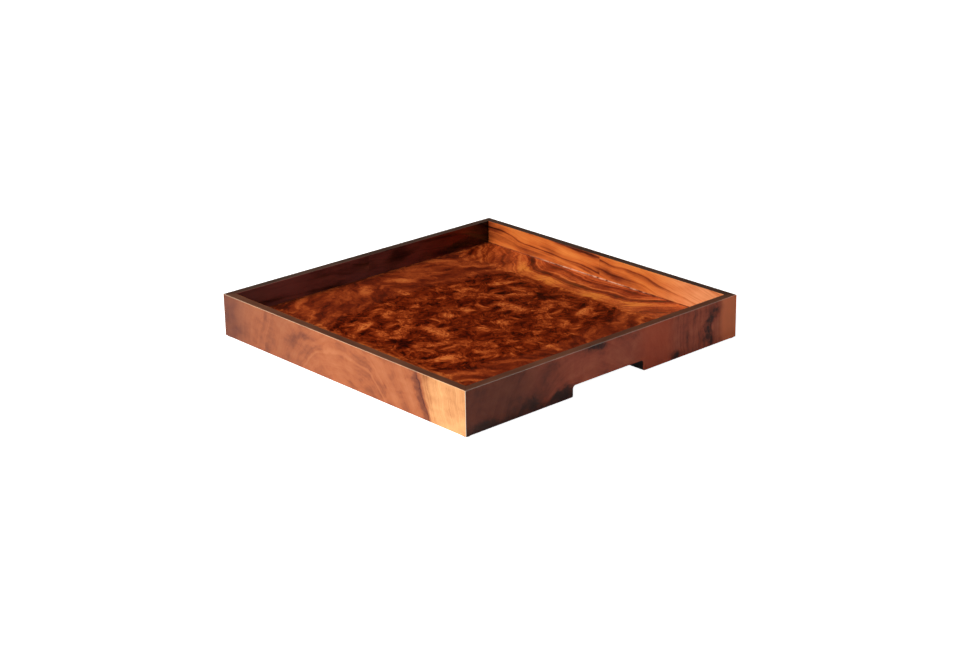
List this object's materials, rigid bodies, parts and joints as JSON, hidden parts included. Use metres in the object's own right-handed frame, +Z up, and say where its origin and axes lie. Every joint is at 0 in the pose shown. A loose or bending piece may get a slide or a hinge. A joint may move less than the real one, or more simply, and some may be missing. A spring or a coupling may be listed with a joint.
{
  "type": "square wooden serving tray",
  "caption": "Square burl-veneered wooden tray with mitred walls, a dark lipped rim, a glossy floor panel and finger notches in the foot of two opposite walls.",
  "frame": {"origin": "centre of the footprint, on the surface that the tray stands on", "axes": "+Z up; -Y towards the front notched wall, +X towards the right-hand plain wall"},
  "size_m": [0.42, 0.42, 0.0522],
  "materials": {
    "floor_burl": "burl walnut veneer under deep gloss lacquer",
    "inner_walnut": "striped walnut veneer under gloss lacquer",
    "outer_walnut": "figured walnut veneer under satin-gloss lacquer",
    "dark_lipping": "ebonised solid wood, satin",
    "painted_core": "board with its cut edges painted black-brown, satin",
    "plywood": "bare birch plywood, hidden inside",
    "backing_veneer": "plain walnut balancing veneer",
    "lining_felt": "black wool felt",
    "pad_felt": "dense brown felt"
  },
  "bodies": {
    "root": {"floor_core": "plywood", "floor_backing_veneer": "backing_veneer", "underside_felt": "lining_felt", "wall_core_front": "painted_core", "wall_core_right": "painted_core", "wall_core_back": "painted_core", "wall_core_left": "painted_core", "mitre_tongue_front_left": "plywood", "mitre_tongue_front_right": "plywood", "mitre_tongue_back_right": "plywood", "mitre_tongue_back_left": "plywood", "outer_veneer_front": "outer_walnut", "outer_veneer_right": "outer_walnut", "outer_veneer_back": "outer_walnut", "outer_veneer_left": "outer_walnut", "inner_veneer_front_a": "inner_walnut", "inner_veneer_front_b": "inner_walnut", "inner_veneer_right_a": "inner_walnut", "inner_veneer_right_b": "inner_walnut", "inner_veneer_back_a": "inner_walnut", "inner_veneer_back_b": "inner_walnut", "inner_veneer_left_a": "inner_walnut", "inner_veneer_left_b": "inner_walnut", "rim_lipping_front": "dark_lipping", "rim_lipping_right": "dark_lipping", "rim_lipping_back": "dark_lipping", "rim_lipping_left": "dark_lipping", "floor_veneer_front_left": "floor_burl", "floor_veneer_front_right": "floor_burl", "floor_veneer_back_right": "floor_burl", "floor_veneer_back_left": "floor_burl", "notch_batten_front_left": "painted_core", "notch_batten_front_right": "painted_core", "notch_batten_back_right": "painted_core", "notch_batten_back_left": "painted_core", "foot_pad_front_left": "pad_felt", "foot_pad_front_right": "pad_felt", "foot_pad_back_right": "pad_felt", "foot_pad_back_left": "pad_felt"}
  },
  "joints": []
}
